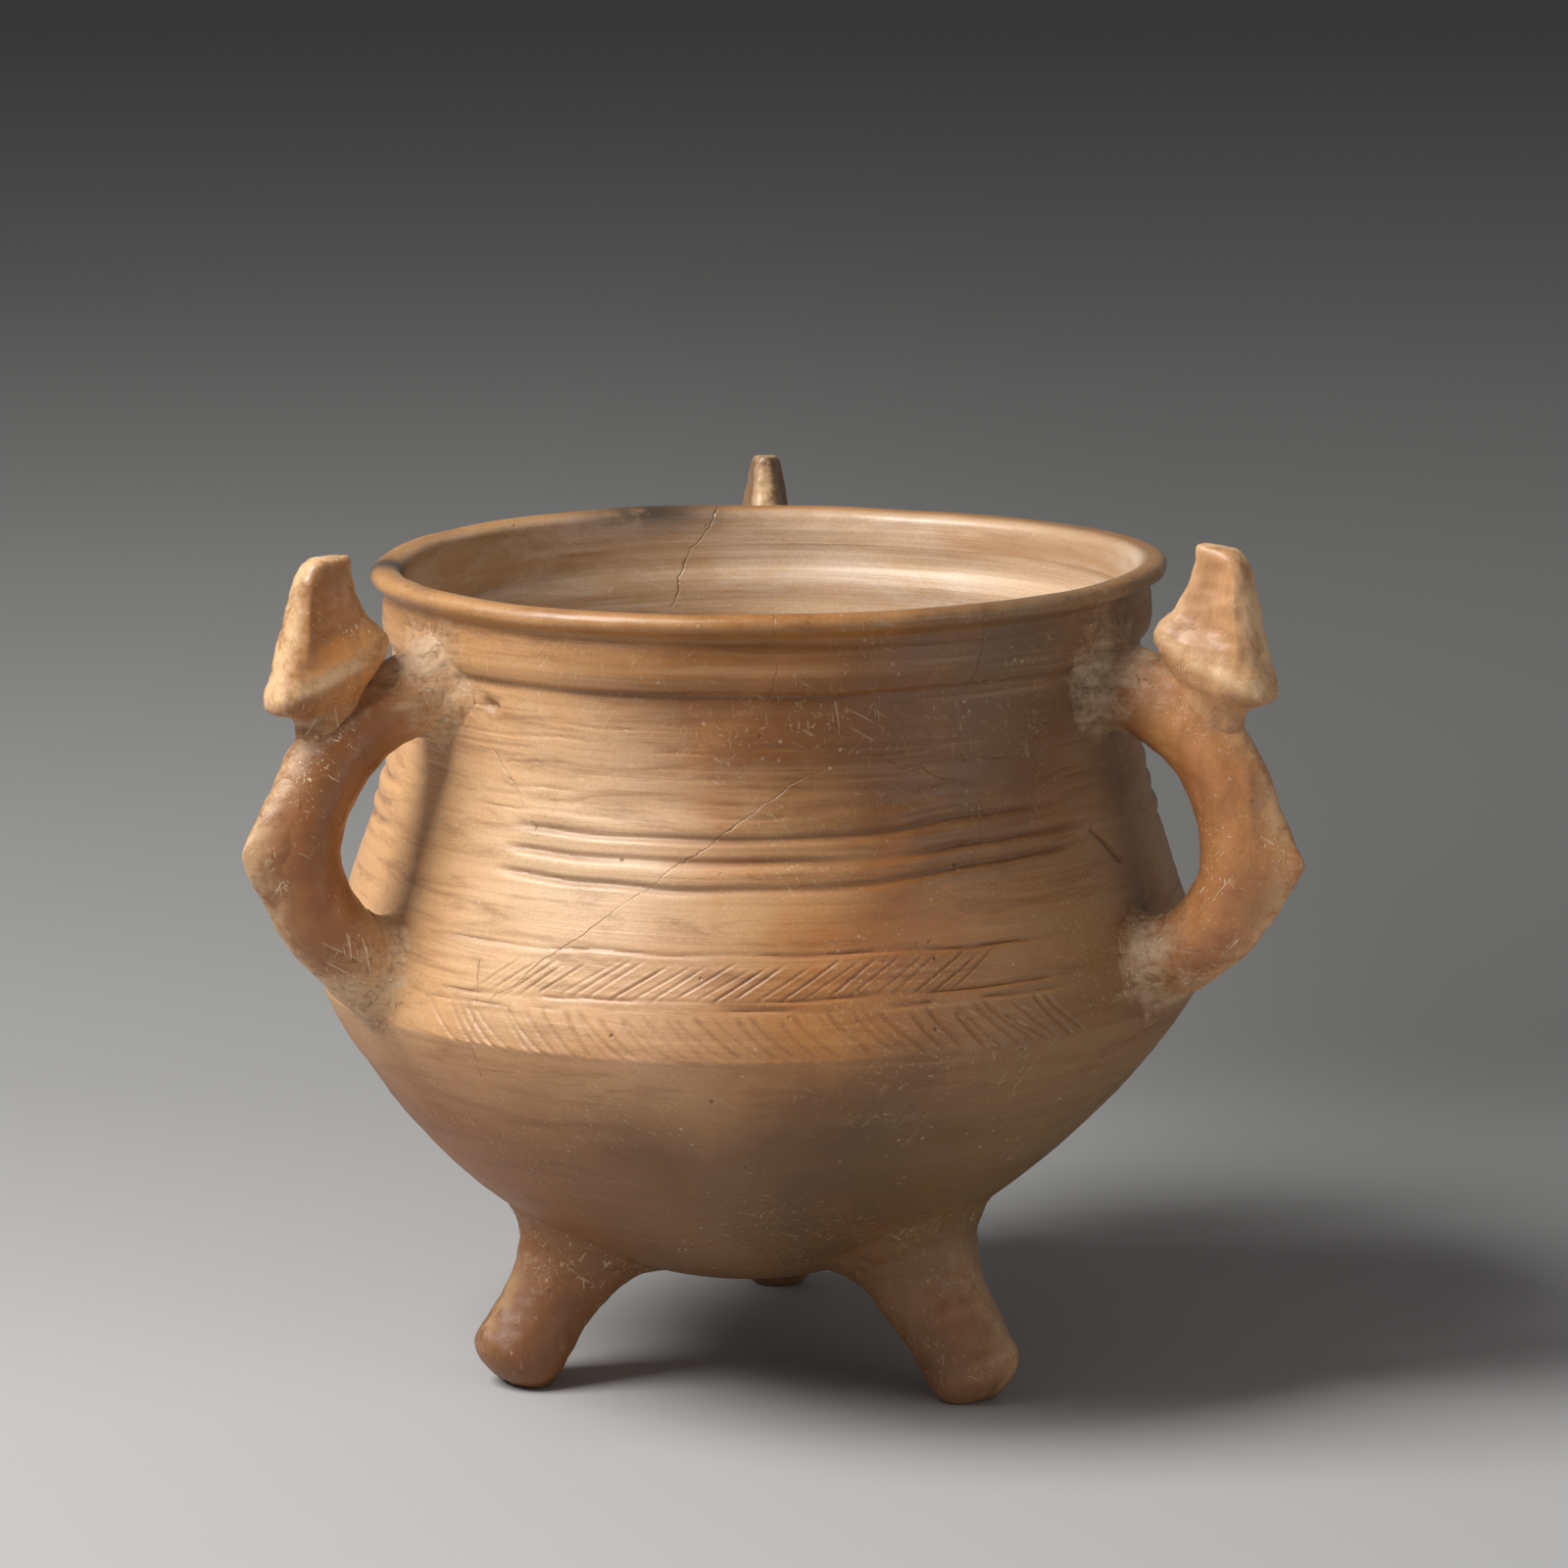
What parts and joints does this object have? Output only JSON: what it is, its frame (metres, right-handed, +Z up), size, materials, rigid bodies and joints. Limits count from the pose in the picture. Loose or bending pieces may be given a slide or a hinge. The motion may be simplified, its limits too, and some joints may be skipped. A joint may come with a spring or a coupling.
{
  "type": "tripod pot",
  "caption": "Round-bellied earthenware pot with a wide mouth, standing on stub legs, with looped side handles that carry blade-shaped crests.",
  "frame": {"origin": "on the ground, in the middle of the box round the pot", "axes": "+Z up through the mouth; -Y towards the viewer of the picture; +X to the viewer's right"},
  "size_m": [0.3388, 0.3404, 0.2868],
  "materials": {
    "clay_dark": "burnished, satin",
    "clay_sunlit": "burnished, satin",
    "clay_burnt": "burnished, satin",
    "clay_pale": "rough, matt"
  },
  "bodies": {
    "root": {"base_bowl": "clay_dark", "shoulder_wall": "clay_sunlit", "neck_wall": "clay_sunlit", "collar_band": "clay_sunlit", "lip_coil": "clay_burnt", "leg_back": "clay_burnt", "leg_luting_back": "clay_pale", "leg_left": "clay_burnt", "leg_luting_left": "clay_pale", "leg_right": "clay_burnt", "leg_luting_right": "clay_pale", "handle_back": "clay_burnt", "crest_back": "clay_burnt", "spur_back": "clay_burnt", "top_luting_back": "clay_pale", "foot_luting_back": "clay_pale", "handle_left": "clay_burnt", "crest_left": "clay_burnt", "spur_left": "clay_burnt", "top_luting_left": "clay_pale", "foot_luting_left": "clay_pale", "handle_right": "clay_burnt", "crest_right": "clay_burnt", "spur_right": "clay_burnt", "top_luting_right": "clay_pale", "foot_luting_right": "clay_pale"}
  },
  "joints": []
}
